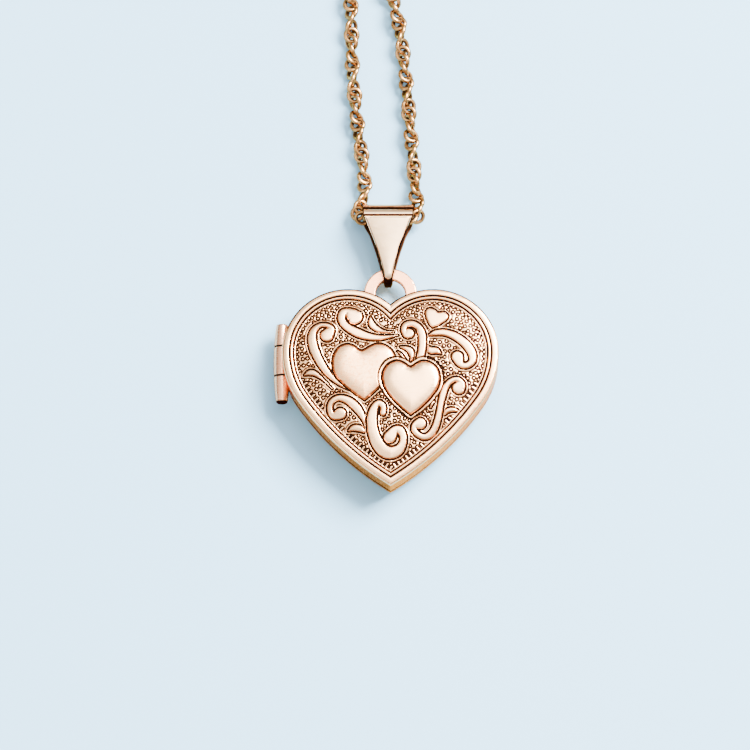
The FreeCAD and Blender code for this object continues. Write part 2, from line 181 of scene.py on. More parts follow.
def metal(name, light, dark, rough=0.16, patina_and_shade=None, bump=0.12, tarnish=0.35):
    """Polished gold alloy: tone drifts slowly, fine rubbing marks, and, where the
    mesh's dark-tone attribute says, a dark oxide in the tool cuts and painted shade in seams, hollows and on shaded
    sides."""
    mat = bpy.data.materials.new(name)
    nt, p = nodes_of(mat)
    p.inputs["Metallic"].default_value = 1.0
    p.inputs["Specular Tint"].default_value = (*tuple(0.94 * v for v in dark), 1)
    tc = nt.nodes.new("ShaderNodeTexCoord")
    co = tc.outputs["Object"]
    big = noise_node(nt, 420.0, 4.0, 0.55, co)
    fine = noise_node(nt, 5200.0, 3.0, 0.6, co)
    st = nt.nodes.new("ShaderNodeMapping")
    st.inputs["Rotation"].default_value = (0, 0, math.radians(32))
    st.inputs["Scale"].default_value = (1.0, 14.0, 1.0)
    nt.links.new(co, st.inputs["Vector"])
    hair = noise_node(nt, 1500.0, 2.0, 0.5, st.outputs["Vector"])
    base = ramp(nt, big.outputs["Fac"], [(0.30, dark), (0.62, light)])
    mixc = nt.nodes.new("ShaderNodeMix"); mixc.data_type = "RGBA"
    mixc.inputs["Factor"].default_value = 1 - tarnish
    mixc.inputs["A"].default_value = (*dark, 1)
    nt.links.new(base.outputs["Color"], mixc.inputs["A"])
    mixc.inputs["B"].default_value = (*light, 1)
    color_out = mixc.outputs["Result"]
    r0 = maprange(nt, hair.outputs["Fac"], 0.35, 0.70, rough * 0.75, rough * 1.45)
    rough_out = r0.outputs["Result"]
    if patina_and_shade is not None:
        at = nt.nodes.new("ShaderNodeAttribute"); at.attribute_name = "patina_and_shade"
        speck = maprange(nt, fine.outputs["Fac"], 0.30, 0.75, -0.10, 0.12)
        add = nt.nodes.new("ShaderNodeMath"); add.operation = "ADD"; add.use_clamp = True
        nt.links.new(at.outputs["Fac"], add.inputs[0]); nt.links.new(speck.outputs["Result"], add.inputs[1])
        prm = ramp(nt, add.outputs["Value"], [(0.08, light), (0.22, patina_and_shade[2]), (0.48, patina_and_shade[0]), (0.85, patina_and_shade[1])])
        m2 = nt.nodes.new("ShaderNodeMix"); m2.data_type = "RGBA"
        fac = maprange(nt, add.outputs["Value"], 0.10, 0.30, 0.0, 1.0)
        nt.links.new(fac.outputs["Result"], m2.inputs["Factor"])
        nt.links.new(color_out, m2.inputs["A"]); nt.links.new(prm.outputs["Color"], m2.inputs["B"])
        color_out = m2.outputs["Result"]
        mr = maprange(nt, add.outputs["Value"], 0.15, 0.8, 0.0, 0.45)
        ad = nt.nodes.new("ShaderNodeMath"); ad.operation = "ADD"; ad.use_clamp = True
        nt.links.new(rough_out, ad.inputs[0]); nt.links.new(mr.outputs["Result"], ad.inputs[1])
        rough_out = ad.outputs["Value"]
    nt.links.new(color_out, p.inputs["Base Color"])
    nt.links.new(rough_out, p.inputs["Roughness"])
    bp = nt.nodes.new("ShaderNodeBump")
    bp.inputs["Strength"].default_value = bump
    bp.inputs["Distance"].default_value = 0.00001
    nt.links.new(fine.outputs["Fac"], bp.inputs["Height"])
    bp2 = nt.nodes.new("ShaderNodeBump")
    bp2.inputs["Strength"].default_value = bump * 0.8
    bp2.inputs["Distance"].default_value = 0.00001
    nt.links.new(hair.outputs["Fac"], bp2.inputs["Height"])
    nt.links.new(bp.outputs["Normal"], bp2.inputs["Normal"])
    nt.links.new(bp2.outputs["Normal"], p.inputs["Normal"])
    return mat


ROSE_L, ROSE_D = (0.98, 0.590, 0.300), (0.94, 0.485, 0.225)
# Tones for the dark mask: the dark ones are patina in the cuts and painted shade in seams and joints; the tan one is
# painted shade on slopes and side walls.
PATINA_AND_SHADE = ((0.12, 0.040, 0.014), (0.007, 0.0025, 0.0015), (0.98, 0.415, 0.160))
GOLD_PATINA = ((0.16, 0.075, 0.028), (0.03, 0.012, 0.004), (0.50, 0.28, 0.11))
M_FRONT = metal("rose_gold_front", ROSE_L, ROSE_D, 0.20, PATINA_AND_SHADE, 0.10, 0.30)
M_BACK = metal("rose_gold_back", ROSE_L, ROSE_D, 0.17, PATINA_AND_SHADE, 0.16, 0.45)
M_HINGE = metal("rose_gold_hinge", (0.94, 0.54, 0.35), (0.88, 0.43, 0.26), 0.26, PATINA_AND_SHADE, 0.18, 0.6)
M_RING = metal("rose_gold_ring", (0.91, 0.42, 0.22), (0.85, 0.34, 0.17), 0.27, PATINA_AND_SHADE, 0.16, 0.6)
# the bail's base colour is paler than the rest of the rose gold: a painted highlight on its panel
M_BAIL = metal("rose_gold_bail", (1.0, 0.69, 0.41), (0.98, 0.59, 0.33), 0.15, PATINA_AND_SHADE, 0.10, 0.3)
for m in (M_FRONT, M_BACK):
    m.node_tree.nodes["Principled BSDF"].inputs["Specular Tint"].default_value = (0.97, 0.36, 0.17, 1)
M_INNER = metal("rose_gold_inner", (0.93, 0.55, 0.37), (0.86, 0.45, 0.28), 0.32, PATINA_AND_SHADE, 0.22, 0.6)
M_CHAIN = metal("antique_gold_chain", (0.50, 0.26, 0.09), (0.21, 0.09, 0.028), 0.26, GOLD_PATINA, 0.15, 0.75)
M_CLASP = metal("antique_gold_clasp", (0.78, 0.56, 0.31), (0.48, 0.30, 0.14), 0.22, GOLD_PATINA, 0.15, 0.6)
M_STEEL = metal("spring_steel", (0.72, 0.72, 0.73), (0.45, 0.45, 0.47), 0.28, None, 0.2, 0.6)


def hinge_material():
    """The knuckle material, with painted shade where the knuckles meet and at the ends."""
    mat = metal("rose_gold_hinge_joint_shade", (0.92, 0.47, 0.27), (0.86, 0.36, 0.19), 0.28, None, 0.18, 0.6)
    nt = mat.node_tree
    p = nt.nodes["Principled BSDF"]
    src = p.inputs["Base Color"].links[0].from_socket
    tc = nt.nodes.new("ShaderNodeTexCoord")
    sep = nt.nodes.new("ShaderNodeSeparateXYZ")
    nt.links.new(tc.outputs["Object"], sep.inputs["Vector"])
    m = maprange(nt, sep.outputs["Y"], -0.00085, 0.00485, 0.0, 1.0)
    w, k = (1, 1, 1), (0, 0, 0)
    r = ramp(nt, m.outputs["Result"], [(0.0, w), (0.022, w), (0.040, k), (0.322, k), (0.330, w), (0.350, w), (0.358, k), (0.694, k), (0.702, w), (0.720, w), (0.728, k), (0.985, k), (1.0, (0.6, 0.6, 0.6))])
    mix = nt.nodes.new("ShaderNodeMix"); mix.data_type = "RGBA"
    nt.links.new(r.outputs["Color"], mix.inputs["Factor"])
    nt.links.new(src, mix.inputs["A"])
    mix.inputs["B"].default_value = (*PATINA_AND_SHADE[1], 1)
    nt.links.new(mix.outputs["Result"], p.inputs["Base Color"])
    return mat


M_KNUCKLE = hinge_material()


def window_material():
    mat = bpy.data.materials.new("clear_acetate")
    nt, p = nodes_of(mat)
    p.inputs["Base Color"].default_value = (0.96, 0.98, 0.97, 1)
    p.inputs["Transmission Weight"].default_value = 0.92
    p.inputs["IOR"].default_value = 1.48
    tc = nt.nodes.new("ShaderNodeTexCoord")
    n = noise_node(nt, 700.0, 2.0, 0.5, tc.outputs["Object"])
    r = maprange(nt, n.outputs["Fac"], 0.3, 0.7, 0.03, 0.10)
    nt.links.new(r.outputs["Result"], p.inputs["Roughness"])
    return mat


def card_material():
    mat = bpy.data.materials.new("blank_card")
    nt, p = nodes_of(mat)
    tc = nt.nodes.new("ShaderNodeTexCoord")
    n = noise_node(nt, 2600.0, 6.0, 0.65, tc.outputs["Object"])
    r = ramp(nt, n.outputs["Fac"], [(0.30, (0.80, 0.77, 0.70)), (0.65, (0.90, 0.88, 0.82))])
    nt.links.new(r.outputs["Color"], p.inputs["Base Color"])
    p.inputs["Roughness"].default_value = 0.82
    b = nt.nodes.new("ShaderNodeBump"); b.inputs["Strength"].default_value = 0.3; b.inputs["Distance"].default_value = 0.00002
    nt.links.new(n.outputs["Fac"], b.inputs["Height"]); nt.links.new(b.outputs["Normal"], p.inputs["Normal"])
    return mat


M_WINDOW, M_CARD = window_material(), card_material()


def dress(node, mat):
    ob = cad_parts[node]
    if ob.material_slots:
        for s in ob.material_slots:
            s.material = mat
    else:
        ob.data.materials.append(mat)


for n in ("front_window", "back_window"):
    dress(n, M_WINDOW)
for n in ("front_photo_card", "back_photo_card"):
    dress(n, M_CARD)
for n in ("front_photo_frame", "back_photo_frame", "snap_tongue", "snap_keeper"):
    dress(n, M_INNER)
for n in ("hinge_knuckle_lower", "hinge_knuckle_middle", "hinge_knuckle_upper"):
    dress(n, M_KNUCKLE)
dress("hinge_pin", M_HINGE)
dress("hanging_ring", M_RING)
for n in ("clasp_ring", "clasp_bolt", "clasp_stop", "clasp_eyelet", "chain_end_ring"):
    dress(n, M_CLASP)
dress("clasp_spring", M_STEEL)

# ------------------------------------------------------------------ camera
W_MM = 51.83                             # width of the view at the locket's face
TARGET = np.array([-1.07, 0.83, 2.8])
TILT = math.radians(16.0)
DIST = 420.0
cam_data = bpy.data.cameras.new("camera")
cam_data.lens = 36.0 * DIST / W_MM
cam_data.clip_start = 0.02
cam_data.clip_end = 20.0
cam = bpy.data.objects.new("camera", cam_data)
cam.location = ((TARGET + DIST * np.array([0.0, -math.sin(TILT), math.cos(TILT)])) * MM).tolist()
cam.rotation_euler = (TILT, 0.0, 0.0)
bpy.context.scene.collection.objects.link(cam)
bpy.context.scene.camera = cam

# ------------------------------------------------------------------ chain
CHAIN_D = 1.15
COIL_C = (6.40, 41.0)


def spiral(r0, pitch, a0, t0, t1, z0, z1, step=1 / 16):
    out = []
    n = int(round((t1 - t0) / step))
    for k in range(n + 1):
        t = t0 + (t1 - t0) * k / n
        a = math.radians(a0 - 360 * t)
        r = r0 - pitch * t
        z = z0 + (z1 - z0) * k / n
        out.append((COIL_C[0] + r * math.cos(a), COIL_C[1] + r * math.sin(a), z))
    return out


STRAND_L = [(0.0, 12.75, 1.20), (-1.20, 12.75, 1.20), (-2.02, 12.66, 1.14), (-2.36, 13.10, 0.96), (-1.98, 13.85, 0.76), (-1.76, 14.80, 0.64),
            (-1.84, 16.30, 0.62), (-2.14, 18.50, 0.62), (-2.49, 21.40, 0.62), (-2.72, 24.90, 0.62), (-2.72, 28.40, 0.62),
            (-3.02, 32.20, 0.62), (-3.42, 36.20, 0.62)]
TURNS_L = spiral(9.85, 1.17, 180, 0.0, 4.0, 0.60, 0.60)
END_L = [(COIL_C[0] + x, COIL_C[1] + y, z) for x, y, z in
         [(-4.75, 1.95, 0.60), (-3.75, 3.60, 0.60), (-2.20, 4.30, 0.60), (-0.70, 3.90, 0.60), (-0.05, 3.00, 0.57), (0.0, 2.35, 0.55)]]
STRAND_R = [(0.0, 12.75, 1.20), (0.95, 12.75, 1.20), (1.74, 12.66, 1.14), (2.12, 13.10, 0.96), (1.90, 13.85, 0.76), (1.76, 14.80, 0.64),
            (1.68, 16.30, 0.62), (1.51, 18.50, 0.62), (1.25, 21.40, 0.62), (0.95, 24.90, 0.62), (0.45, 28.40, 0.62),
            (-0.55, 31.60, 0.80), (-1.80, 34.80, 1.42)]
TURNS_R = spiral(9.25, 1.17, 180, 0.06, 3.25, 1.62, 1.62)
TURNS_R2 = spiral(5.42, -1.20, 90, 0.06, 1.0, 2.15, 2.76)
END_R = [(COIL_C[0] + r * math.cos(math.radians(a)), COIL_C[1] + r * math.sin(math.radians(a)), z)
         for r, a, z in [(6.95, 78.0, 2.78), (7.55, 70.0, 2.72), (8.05, 63.0, 2.50)]]


def route(name, points):
    """The centreline: a NURBS spline with these control points, read back as a polyline in mm."""
    cu = bpy.data.curves.new(name, "CURVE")
    cu.dimensions = "3D"
    cu.resolution_u = 8
    sp = cu.splines.new("NURBS")
    sp.points.add(len(points) - 1)
    for q, p in zip(sp.points, points):
        q.co = (p[0] * MM, p[1] * MM, p[2] * MM, 1.0)
    sp.order_u = 3
    sp.use_endpoint_u = True
    ob = bpy.data.objects.new(name, cu)
    bpy.context.scene.collection.objects.link(ob)
    me = bpy.data.meshes.new_from_object(ob)
    pts = np.array([v.co[:] for v in me.vertices]) / MM
    bpy.data.objects.remove(ob)
    bpy.data.meshes.remove(me)
    bpy.data.curves.remove(cu)
    return pts


def resample(pts, step):
    seg = np.linalg.norm(np.diff(pts, axis=0), axis=1)
    s = np.r_[0, np.cumsum(seg)]
    n = int(s[-1] / step)
    t = (np.arange(n) + 0.5) * (s[-1] / n)
    return np.c_[[np.interp(t, s, pts[:, k]) for k in range(3)]].T, s[-1]


LINK_PITCH, LINK_TURN = 0.56, math.radians(46.0)
LINK_WIRE, LINK_LONG, LINK_WIDE, LINK_LEAN = 0.150, 0.450, 0.425, math.radians(17.0)


def links(name, pts, phase, detail_to):
    """Round wire links threaded through each other, each turned a little
    further round the line than the last, which gives the rope's twist."""
    c, length = resample(pts, LINK_PITCH)
    T = np.gradient(c, axis=0); T /= np.linalg.norm(T, axis=1)[:, None]
    N = np.zeros_like(T)
    n0 = np.cross(T[0], [0, 0, 1.0]); N[0] = n0 / np.linalg.norm(n0)
    for k in range(1, len(c)):
        v = N[k - 1] - T[k] * np.dot(N[k - 1], T[k])
        N[k] = v / np.linalg.norm(v)
    B = np.cross(T, N)
    ang = phase + LINK_TURN * np.arange(len(c))
    V = np.cos(ang)[:, None] * N + np.sin(ang)[:, None] * B
    Wd = np.cross(T, V)
    U = math.cos(LINK_LEAN) * T + math.sin(LINK_LEAN) * Wd
    K = np.cross(U, V)
    jit = rng.normal(0, 0.016, (len(c), 3))
    c = c + jit * [1, 1, 0.5]
    verts, faces, off, pat = [], [], 0, []
    s = np.linspace(0, length, len(c))
    for sel, nt_, nr in ((s < detail_to, 40, 14), (s >= detail_to, 20, 8)):
        m = int(sel.sum())
        if not m:
            continue
        th = 2 * np.pi * np.arange(nt_) / nt_
        ph = 2 * np.pi * np.arange(nr) / nr
        cc, UU, VV, KK = c[sel], U[sel], V[sel], K[sel]
        rad = (np.cos(th)[None, :, None] * LINK_LONG * UU[:, None] + np.sin(th)[None, :, None] * LINK_WIDE * VV[:, None])
        rdir = rad / np.linalg.norm(rad, axis=2)[..., None]
        wire = LINK_WIRE
        # the links inside the bail are a touch smaller, so it swings round them freely
        size = np.where(s[sel] < 3.2, 0.955, 1.0)[:, None, None, None]
        P = cc[:, None, None] + size * (rad[:, :, None] + wire * (np.cos(ph)[None, None, :, None] * rdir[:, :, None]
             + np.sin(ph)[None, None, :, None] * KK[:, None, None]))
        # darker towards the middle of the rope
        axis_r = np.linalg.norm(P - cc[:, None, None], axis=3)
        pat.append((1 - smooth01((axis_r - 0.37) / 0.14)).reshape(-1) * 0.7)
        verts.append(P.reshape(-1, 3))
        i, j = np.meshgrid(np.arange(nt_), np.arange(nr), indexing="ij")
        i2, j2 = (i + 1) % nt_, (j + 1) % nr
        q = np.stack([i * nr + j, i2 * nr + j, i2 * nr + j2, i * nr + j2], axis=-1).reshape(-1, 4)
        q = (q[None] + (off + np.arange(m) * nt_ * nr)[:, None, None]).reshape(-1, 4)
        faces.append(q); off += m * nt_ * nr
    V_ = np.vstack(verts)
    V_[:, 2] = np.maximum(V_[:, 2], 0.012)
    return mesh_piece(name, V_, [np.vstack(faces)], M_CHAIN, attrs={"patina_and_shade": np.concatenate(pat)}), length


path_l = route("route_l", STRAND_L + TURNS_L + END_L)
path_r = route("route_r", STRAND_R + TURNS_R + TURNS_R2 + END_R)
chain_l, len_l = links("rope_chain_left", path_l, 0.3, 26.0)
chain_r, len_r = links("rope_chain_right", path_r, 1.1, 26.0)
print("chain lengths mm", round(len_l, 1), round(len_r, 1))
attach(chain_l, "chain"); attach(chain_r, "chain")
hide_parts("chain_left", "chain_end_left", "chain_coil")
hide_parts("chain_right", "chain_end_right")

# ------------------------------------------------------------------ ornament
# Raised scrolls, back to front: points (x, y, half width) along each band.
STROKES = {
    "leaf_1": [(-1.387, 4.897, 0.073), (-1.308, 4.422, 0.231), (-0.913, 4.042, 0.207), (-0.365, 3.852, 0.097), (0.243, 3.852, 0.030)],
    "leaf_2": [(-5.961, 0.749, 0.036), (-5.566, 0.908, 0.207), (-5.170, 0.813, 0.182), (-4.623, 0.369, 0.085), (-4.015, -0.264, 0.024)],
    "leaf_3": [(-2.913, -3.239, 0.046), (-2.541, -3.060, 0.218), (-2.140, -3.090, 0.241), (-1.824, -3.299, 0.126)],
    "leaf_4": [(0.678, 2.740, 0.053), (1.048, 2.657, 0.148), (1.365, 2.464, 0.222), (1.471, 2.079, 0.159), (1.392, 1.721, 0.042)],
    "leaf_5": [(2.661, 2.740, 0.074), (2.793, 2.492, 0.254), (3.163, 2.464, 0.222), (3.481, 2.244, 0.053)],
    "leaf_6": [(0.493, 2.409, 0.042), (0.731, 2.189, 0.085), (1.048, 1.776, 0.053)],
    "leaf_7": [(3.736, -2.113, 0.042), (3.895, -1.838, 0.159), (4.239, -1.727, 0.169), (4.583, -1.782, 0.116)],
    "leaf_8": [(2.996, -1.149, 0.063), (2.837, -1.397, 0.095), (2.758, -1.617, 0.053)],
    "vine_1": [(0.517, 3.586, 0.030), (-0.122, 3.472, 0.134), (-0.852, 3.409, 0.207), (-1.582, 3.504, 0.280), (-2.251, 3.744, 0.328), (-2.798, 4.029, 0.292), (-3.212, 4.390, 0.274), (-3.406, 4.789, 0.280), (-3.285, 5.213, 0.280), (-2.950, 5.352, 0.231), (-2.482, 4.928, 0.560)],
    "vine_2": [(-2.737, -0.390, 0.024), (-3.406, -0.011, 0.109), (-4.015, 0.496, 0.182), (-4.623, 1.256, 0.268), (-5.079, 2.079, 0.304), (-5.341, 2.775, 0.328), (-5.438, 3.409, 0.304), (-5.304, 3.947, 0.243), (-4.927, 4.295, 0.170), (-4.440, 4.320, 0.164), (-4.075, 4.073, 0.207), (-4.392, 3.586, 0.468)],
    "vine_3": [(-1.796, -2.851, 0.029), (-1.910, -2.315, 0.195), (-2.311, -1.659, 0.298), (-2.884, -1.122, 0.286), (-3.543, -0.919, 0.218), (-4.002, -1.122, 0.206), (-4.191, -1.539, 0.212), (-4.116, -1.987, 0.218), (-3.858, -2.195, 0.264), (-3.469, -2.028, 0.424)],
    "vine_6": [(2.714, 3.621, 0.074), (3.111, 3.758, 0.201), (3.745, 3.775, 0.243), (4.380, 3.566, 0.286), (4.962, 3.180, 0.307), (5.385, 2.740, 0.317), (5.649, 2.244, 0.296), (5.649, 1.749, 0.254), (5.279, 1.418, 0.222), (4.829, 1.501, 0.243), (4.618, 2.024, 0.423)],
    "vine_7": [(2.026, 1.859, 0.264), (2.159, 2.519, 0.275), (2.201, 3.180, 0.286), (2.148, 3.731, 0.275), (1.894, 4.226, 0.233), (1.471, 4.446, 0.222), (1.048, 4.336, 0.222), (0.916, 3.978, 0.222), (1.048, 3.621, 0.212), (1.259, 3.703, 0.381)],
    "vine_5": [(4.715, -0.186, 0.465), (4.926, 0.145, 0.212), (4.609, 0.420, 0.190), (4.186, 0.310, 0.190), (3.842, -0.076, 0.222), (3.631, -0.626, 0.243), (3.472, -1.287, 0.222), (3.366, -1.893, 0.222), (3.234, -2.498, 0.243), (3.049, -3.049, 0.243), (2.758, -3.489, 0.243), (2.335, -3.698, 0.222), (1.912, -3.544, 0.212), (1.621, -3.214, 0.212), (1.674, -2.884, 0.238), (2.044, -2.746, 0.413)],
    "vine_4": [(-0.521, -2.003, 0.212), (-0.495, -1.590, 0.212), (-0.722, -1.298, 0.222), (-1.024, -1.452, 0.243), (-1.235, -2.003, 0.328), (-1.288, -2.663, 0.360), (-1.209, -3.324, 0.391), (-0.971, -4.040, 0.423), (-0.574, -4.590, 0.444), (-0.072, -4.838, 0.444), (0.484, -4.673, 0.381), (0.828, -4.205, 0.275), (0.865, -3.654, 0.264), (0.642, -3.214, 0.286), (0.299, -3.214, 0.286), (-0.045, -3.709, 0.444)],
}
HEART_A = ([(-2.01, 2.48), (-1.78, 2.58), (-1.46, 2.78), (-0.97, 2.98), (-0.43, 2.92), (0.06, 2.57), (0.33, 2.02), (0.30, 1.40), (0.05, 0.75), (-0.45, 0.15), (-1.02, -0.43), (-1.79, -1.12)],
           [(-2.01, 2.48), (-2.25, 2.60), (-2.48, 2.80), (-2.95, 2.96), (-3.53, 2.76), (-3.93, 2.20), (-4.03, 1.43), (-3.82, 0.68), (-3.15, -0.08), (-2.42, -0.68), (-1.79, -1.12)])
HEART_B = ([(1.39, 1.30), (1.56, 1.38), (1.78, 1.54), (2.21, 1.73), (2.79, 1.62), (3.24, 1.18), (3.40, 0.55), (3.28, -0.12), (2.98, -0.62), (2.52, -1.18), (1.95, -1.74), (1.38, -2.16)],
           [(1.39, 1.30), (1.20, 1.38), (0.94, 1.58), (0.45, 1.75), (-0.10, 1.55), (-0.45, 1.10), (-0.58, 0.55), (-0.42, -0.15), (0.02, -0.84), (0.72, -1.60), (1.38, -2.16)])
HEART_C = ([(3.32, 5.27), (3.45, 5.27), (3.62, 5.33), (3.84, 5.24), (4.02, 5.00), (3.92, 4.72), (3.62, 4.48), (3.30, 4.28), (2.88, 4.13)],
           [(3.32, 5.27), (3.22, 5.33), (3.10, 5.46), (2.85, 5.58), (2.60, 5.56), (2.43, 5.36), (2.42, 5.00), (2.55, 4.60), (2.70, 4.32), (2.88, 4.13)])


def catmull(p, k=5):
    p = np.asarray(p, float)
    q = np.vstack([2 * p[0] - p[1], p, 2 * p[-1] - p[-2]])
    out = []
    for i in range(1, len(q) - 2):
        for t in np.arange(k) / k:
            a, b, c, d = q[i - 1], q[i], q[i + 1], q[i + 2]
            out.append(0.5 * ((2 * b) + (-a + c) * t + (2 * a - 5 * b + 4 * c - d) * t * t + (-a + 3 * b - 3 * c + d) * t ** 3))
    out.append(p[-1])
    return np.array(out)


def band_distance(x, y, pts, reach=0.75):
    """Signed distance to a band of varying width, far outside it 9."""
    p = catmull(pts, 5)
    p[:, 2] = np.maximum(p[:, 2], 0.02)
    best = np.full(x.shape, 9.0)
    m = ((x > (p[:, 0] - p[:, 2]).min() - reach) & (x < (p[:, 0] + p[:, 2]).max() + reach)
         & (y > (p[:, 1] - p[:, 2]).min() - reach) & (y < (p[:, 1] + p[:, 2]).max() + reach))
    xs, ys = x[m], y[m]
    b = np.full(xs.shape, 9.0)
    for a, c in zip(p[:-1], p[1:]):
        dx, dy = c[0] - a[0], c[1] - a[1]
        L = dx * dx + dy * dy
        t = np.clip(((xs - a[0]) * dx + (ys - a[1]) * dy) / max(L, 1e-9), 0, 1)
        b = np.minimum(b, np.hypot(xs - a[0] - t * dx, ys - a[1] - t * dy) - (a[2] + t * (c[2] - a[2])))
    best[m] = b
    return best


def outline_distance(x, y, halves, reach=1.0):
    """Signed distance to a closed heart, negative inside."""
    a = catmull([(*p, 0) for p in halves[0]], 6)[:, :2]
    b = catmull([(*p, 0) for p in halves[1]], 6)[:, :2]
    poly = np.vstack([a[:-1], b[::-1][:-1]])
    best = np.full(x.shape, 9.0)
    m = (x > poly[:, 0].min() - reach) & (x < poly[:, 0].max() + reach) & (y > poly[:, 1].min() - reach) & (y < poly[:, 1].max() + reach)
    xs, ys = x[m], y[m]
    d = np.full(xs.shape, 9.0)
    inside = np.zeros(xs.shape, bool)
    for p, q in zip(poly, np.roll(poly, -1, axis=0)):
        dx, dy = q - p
        t = np.clip(((xs - p[0]) * dx + (ys - p[1]) * dy) / max(dx * dx + dy * dy, 1e-12), 0, 1)
        d = np.minimum(d, np.hypot(xs - p[0] - t * dx, ys - p[1] - t * dy))
        cr = ((p[1] > ys) != (q[1] > ys)) & (xs < dx * (ys - p[1]) / (dy if abs(dy) > 1e-12 else 1e-12) + p[0])
        inside ^= cr
    best[m] = np.where(inside, -d, d)
    return best


def gauss(d, s):
    return np.exp(-(d / s) ** 2)


def ornament(x, y):
    """Height over the dome, the dark tone (patina in the cuts, painted shade on slopes and shoulders), and distance
    to the nearest raised figure.
    """
    h = np.zeros(x.shape)
    pat = np.zeros(x.shape)
    near = np.full(x.shape, 9.0)

    def lay(d, height, shoulder, border, tone=1.0, crown=0.0):
        m = d < border
        body = height * smooth01(-d / shoulder) + crown * (1 - np.exp(np.minimum(d, 0) / (0.36 if crown > 0.05 else 0.16)))
        cut = gauss(d - 0.045, 0.051)
        edge = 0.030 * smooth01((d - 0.05) / 0.05)
        h[m] = (body - 0.075 * cut + np.where(d > 0, edge, 0))[m]
        # a dark line in the cut round each figure, and a faint painted shade on the figure's shoulder just inside it
        pat[m] = np.minimum(1.0, 1.55 * tone * cut + 0.10 * gauss(d + 0.06, 0.06))[m]
        np.minimum(near, d, out=near)

    for name, pts in STROKES.items():
        d = band_distance(x, y, pts)
        lay(d, 0.085, 0.10, 0.13, crown=0.03)
    d = outline_distance(x, y, HEART_C)
    lay(d, 0.070, 0.10, 0.13, crown=0.02)
    d = outline_distance(x, y, HEART_A)
    lay(d, 0.085, 0.14, 0.10, crown=0.15)
    da = d
    d = outline_distance(x, y, HEART_B)
    m = d < 0.30
    lay(d, 0.095, 0.14, 0.24, crown=0.16)
    ring = np.minimum(1.0, 1.2 * gauss(d - 0.285, 0.046))
    m2 = (d > 0.20) & (d < 0.40)
    pat[m2] = np.maximum(pat, ring * np.where(da < 0.1, 1.0, 0.8))[m2]
    h[m2] -= (0.05 * ring)[m2]
    # painted shade on the two big hearts' sloping edges
    for dd in (da, d):
        pat += 0.16 * smooth01(1 - np.abs(dd + 0.09) / 0.14) * (dd < 0.0)
    # the heart behind is a little darker over its whole face
    pat += 0.185 * (da < -0.05) * (d > 0.20)
    # a finer second line runs round every figure
    line = gauss(near - 0.215, 0.039)
    free = near > 0.12
    pat[free] = np.maximum(pat, 0.85 * line)[free]
    h[free] -= (0.035 * line)[free]
    return h, pat, near


ROW, GAP, ALONG = 0.340, 0.330, 0.372


def punches():
    """Centres, angles and stretch of the ring punch marks, in rows along the rim."""
    out = []
    ring = heart_ring(1.03, 2400)
    seg = np.linalg.norm(np.roll(ring, -1, axis=0) - ring, axis=1)
    sl = np.r_[0, np.cumsum(seg)]
    n = int(sl[-1] / 0.34)
    t = (np.arange(n) + 0.5) * sl[-1] / n
    cl = np.vstack([ring, ring[:1]])
    px = np.interp(t, sl, cl[:, 0]); py = np.interp(t, sl, cl[:, 1])
    tx = np.interp(t + 0.02, sl, cl[:, 0]) - px; ty = np.interp(t + 0.02, sl, cl[:, 1]) - py
    a = np.arctan2(ty, tx)
    for i in range(n):
        out.append((px[i], py[i], a[i], 2.0 if py[i] < 0.4 else 1.0))
    P = np.array(out)
    P[:, :2] += rng.normal(0, 1, (len(P), 2)) * 0.008
    # the rows behind it follow the rim inwards, each mark set between two of the last row
    gx, gy = np.meshgrid(np.arange(-7.0, 7.0, 0.03), np.arange(-6.6, 6.6, 0.03))
    gx, gy = gx.ravel(), gy.ravel()
    ins = inset_of(gx, gy)
    gx, gy, ins = gx[ins > 1.0], gy[ins > 1.0], ins[ins > 1.0]
    _, _, near = ornament(gx, gy)
    ok = near > 0.235
    gx, gy, ins = gx[ok], gy[ok], ins[ok]
    _, _, near = ornament(P[:, 0], P[:, 1])
    P = P[near > 0.235]
    taken = [(p[0] + k * math.sin(p[2]), p[1] - k * math.cos(p[2])) for p in P for k in ((-0.12, 0.0, 0.12) if p[3] > 1.5 else (0.0,))]
    T = np.zeros((4000, 2)); T[:len(taken)] = taken; nT = len(taken)
    around = np.arctan2(gx, 0.6 - gy)
    row = (ins - 1.03 - 0.14 * (gy < 0.4)) / ROW
    on = np.abs(row - np.round(row)) < 0.055
    order = list(np.flatnonzero(on)[np.lexsort((around[on], np.round(row[on])))])
    order += list(np.flatnonzero(~on)[np.lexsort((around[~on], np.round(row[~on], 1)))])
    R = np.zeros(4000); more = []
    for k in order:
        q = np.array([gx[k], gy[k]])
        reach = np.where(np.abs(R[:nT] - np.round(row[k])) < 0.5, ALONG, GAP) if on[k] else 0.345
        if np.any((T[:nT, 0] - q[0]) ** 2 + (T[:nT, 1] - q[1]) ** 2 < reach ** 2):
            continue
        T[nT] = q; R[nT] = np.round(row[k]); nT += 1
        more.append((q[0], q[1], 0.0, 1.0))
    more = np.array(more)
    more[:, :2] += rng.normal(0, 0.009, (len(more), 2))
    return np.vstack([P, more])


